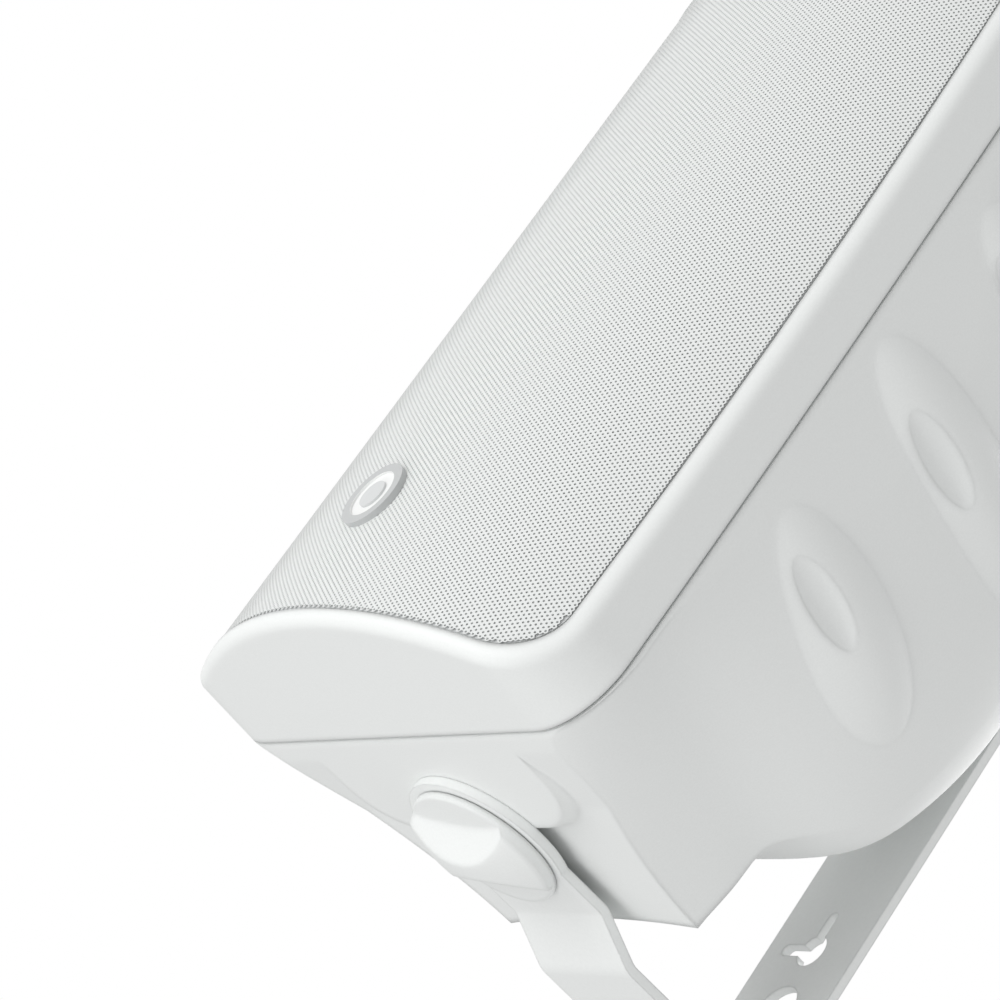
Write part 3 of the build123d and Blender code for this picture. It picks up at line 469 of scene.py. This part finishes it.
def hole_places():
    """Distance round the arch and height of each hole: bowed rows, every other one half a pitch up."""
    edge_x = grille_high.x - EDGE_GAP
    across_reach = ARCH_RADIUS * math.asin(edge_x / ARCH_RADIUS) - CELL_RADIUS
    height_reach = grille_high.z - EDGE_GAP - HOLE_PITCH / 2
    row_gap = 1.5 * CELL_RADIUS
    rows = round(across_reach / row_gap)
    holes = round(height_reach / HOLE_PITCH)
    places = []
    for row in range(-rows, rows + 1):
        for hole in range(-holes, holes + 1 - row % 2):
            z = height_reach * (hole + 0.5 * (row % 2)) / holes
            bow = 1 - SIDE_BOW / grille_high.x * (z / grille_high.z) ** 2
            across = across_reach * bow * row / rows
            x = ARCH_RADIUS * math.sin(across / ARCH_RADIUS)
            if abs(x) < outline_half_width(z, EDGE_GAP + HOLE_RADIUS):
                places.append((across, z))
    return places


def perforation_tree():
    """Geometry nodes: a six-sided cell with a hole through it, set on every point and turned to the arch."""
    tree = bpy.data.node_groups.new("perforated_sheet", "GeometryNodeTree")
    tree.interface.new_socket("Geometry", in_out="OUTPUT", socket_type="NodeSocketGeometry")
    tree.interface.new_socket("Geometry", in_out="INPUT", socket_type="NodeSocketGeometry")
    for name in ("Cell Radius", "Hole Radius", "Sheet Thickness"):
        tree.interface.new_socket(name, in_out="INPUT", socket_type="NodeSocketFloat")
    tree.interface.new_socket("Hole Sides", in_out="INPUT", socket_type="NodeSocketInt")
    tree.interface.new_socket("Material", in_out="INPUT", socket_type="NodeSocketMaterial")
    given = add_node(tree, "NodeGroupInput").outputs

    sizes = {"Vertices": given["Hole Sides"], "Radius": given["Cell Radius"]}
    cell = add_node(tree, "GeometryNodeMeshCircle", sizes, fill_type="NGON")
    ring = add_node(tree, "GeometryNodeExtrudeMesh", {"Mesh": cell.outputs["Mesh"], "Offset Scale": 0.0})
    radii = {0: given["Hole Radius"], 1: given["Cell Radius"]}
    share = add_node(tree, "ShaderNodeMath", radii, operation="DIVIDE")
    inner = {
        "Geometry": ring.outputs["Mesh"],
        "Selection": ring.outputs["Top"],
        "Scale": share.outputs["Value"],
    }
    hole = add_node(tree, "GeometryNodeScaleElements", inner)
    backwards = {0: given["Sheet Thickness"], 1: -1.0}
    into_sheet = add_node(tree, "ShaderNodeMath", backwards, operation="MULTIPLY")
    deep = {
        "Mesh": hole.outputs["Geometry"],
        "Selection": ring.outputs["Top"],
        "Offset Scale": into_sheet.outputs["Value"],
    }
    wall = add_node(tree, "GeometryNodeExtrudeMesh", deep)
    floor = {"Geometry": wall.outputs["Mesh"], "Selection": wall.outputs["Top"]}
    opened = add_node(tree, "GeometryNodeDeleteGeometry", floor, domain="FACE")

    lean = add_node(tree, "GeometryNodeInputNamedAttribute", {"Name": "lean"}, data_type="FLOAT")
    turn = add_node(tree, "ShaderNodeCombineXYZ", {"X": math.pi / 2, "Z": lean.outputs["Attribute"]})
    cells = {
        "Points": given["Geometry"],
        "Instance": opened.outputs["Geometry"],
        "Rotation": turn.outputs["Vector"],
    }
    placed = add_node(tree, "GeometryNodeInstanceOnPoints", cells)
    real = add_node(tree, "GeometryNodeRealizeInstances", {"Geometry": placed.outputs["Instances"]})
    seams = {"Geometry": real.outputs["Geometry"], "Distance": SEAM_MERGE}
    joined = add_node(tree, "GeometryNodeMergeByDistance", seams)
    painted = {"Geometry": joined.outputs["Geometry"], "Material": given["Material"]}
    sheet = add_node(tree, "GeometryNodeSetMaterial", painted)
    add_node(tree, "NodeGroupOutput", {"Geometry": sheet.outputs["Geometry"]})
    return tree


def make_panel(name, places, tree, settings):
    """Perforated panel with its holes at given places, as a plain mesh."""
    points = bpy.data.meshes.new(name + "_points")
    leans = [across / ARCH_RADIUS for across, _ in places]
    points.from_pydata([on_arch(ARCH_RADIUS * math.sin(a), z) for a, (_, z) in zip(leans, places)], [], [])
    points.attributes.new("lean", "FLOAT", "POINT").data.foreach_set("value", leans)
    source = link_piece(name + "_source", points)
    modifier = source.modifiers.new("perforated_sheet", "NODES")
    modifier.node_group = tree
    for socket in tree.interface.items_tree:
        if socket.in_out == "INPUT" and socket.name in settings:
            modifier[socket.identifier] = settings[socket.name]
    evaluated = source.evaluated_get(bpy.context.evaluated_depsgraph_get())
    mesh = bpy.data.meshes.new_from_object(evaluated)
    bpy.data.objects.remove(source)
    mesh.name = name
    return link_piece(name, mesh)


def make_grille_cloth(material):
    """Dust cloth stretched close behind the perforated sheet."""
    reach = grille_high.z - EDGE_GAP
    points = []
    faces = []
    row_size = END_STEPS + 1
    for row in range(SIDE_STEPS + 1):
        z = outline_height(row, reach)
        half = outline_half_width(z, EDGE_GAP)
        for step in range(row_size):
            x = half * (2 * step / END_STEPS - 1)
            points.append(on_arch(x, z, SHEET_THICKNESS + CLOTH_GAP))
            if row and step:
                here = row * row_size + step
                faces.append((here - row_size - 1, here - row_size, here, here - 1))
    mesh = bpy.data.meshes.new("grille_cloth")
    mesh.from_pydata(points, [], faces)
    mesh.shade_smooth()
    mesh.materials.append(material)
    cloth = link_piece("grille_cloth", mesh)
    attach(cloth, "cabinet")


def make_grille(material):
    """Perforated steel grille: panels one above the other with equal shares of the holes, on one edge."""
    edge = make_grille_edge()
    edge.data.materials.append(material)
    settings = {
        "Cell Radius": CELL_RADIUS,
        "Hole Radius": HOLE_RADIUS,
        "Sheet Thickness": SHEET_THICKNESS,
        "Hole Sides": HOLE_SIDES,
        "Material": material,
    }
    tree = perforation_tree()
    places = sorted(hole_places(), key=lambda place: place[1])
    pieces = [edge]
    for panel in range(PANEL_COUNT):
        start = panel * len(places) // PANEL_COUNT
        end = (panel + 1) * len(places) // PANEL_COUNT
        pieces.append(make_panel(f"grille_panel_{panel + 1}", places[start:end], tree, settings))
    for piece in pieces:
        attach(piece, "cabinet")
    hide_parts("grille")


def place_camera():
    """Camera with the place, turn and lens that were fitted to the photograph."""
    camera = bpy.data.objects.new("camera", bpy.data.cameras.new("camera"))
    camera.data.lens = CAMERA_LENS
    turn = Matrix((CAMERA_RIGHT, CAMERA_UP, CAMERA_RIGHT.cross(CAMERA_UP))).transposed()
    camera.matrix_world = Matrix.Translation(CAMERA_PLACE) @ turn.to_4x4()
    bpy.context.scene.collection.objects.link(camera)
    bpy.context.scene.camera = camera


def soft_light(name, direction, power):
    """Large square light at a distance from the object, facing it."""
    light = bpy.data.objects.new(name, bpy.data.lights.new(name, "AREA"))
    light.data.size = LIGHT_SIZE
    light.data.energy = power
    light.location = (cad_bounds[0] + cad_bounds[1]) / 2 + direction.normalized() * LIGHT_DISTANCE
    light.rotation_euler = direction.to_track_quat("Z", "Y").to_euler()
    light.visible_camera = False
    bpy.context.scene.collection.objects.link(light)


def light_studio():
    """White backdrop seen by the camera, with a dimmer even light from all round and four soft lights."""
    world = bpy.data.worlds.new("studio")
    world.use_nodes = True
    tree = world.node_tree
    seen = add_node(tree, "ShaderNodeLightPath").outputs["Is Camera Ray"]
    strengths = {"Value": seen, "To Min": AMBIENT_STRENGTH, "To Max": BACKDROP_STRENGTH}
    strength = add_node(tree, "ShaderNodeMapRange", strengths)
    tree.nodes["Background"].inputs["Color"].default_value = linear("#FFFFFF")
    tree.links.new(strength.outputs["Result"], tree.nodes["Background"].inputs["Strength"])
    bpy.context.scene.world = world
    bpy.context.scene.view_settings.view_transform = "Standard"
    soft_light("key", KEY_FROM, KEY_POWER)
    soft_light("below", BELOW_FROM, BELOW_POWER)
    soft_light("right", RIGHT_FROM, RIGHT_POWER)
    soft_light("behind", BEHIND_FROM, BEHIND_POWER)


def lay_floor():
    """Plain pale floor, well below a speaker that hangs on a wall."""
    mesh = bpy.data.meshes.new("floor")
    half = FLOOR_SIZE / 2
    level = cad_bounds[0].z - FLOOR_DROP
    corners = [(-half, -half, level), (half, -half, level), (half, half, level), (-half, half, level)]
    mesh.from_pydata(corners, [], [(0, 1, 2, 3)])
    mesh.materials.append(grained(
        "floor_paint", "#EFEFEF", "#F6F6F6",
        grain=40 * MM, depth=0.01 * MM, roughness=0.8,
    ))
    link_piece("floor", mesh)


dress_cad_nodes(make_materials())
make_grille(perforated_steel())
make_grille_cloth(dust_cloth())
lay_floor()
light_studio()
place_camera()
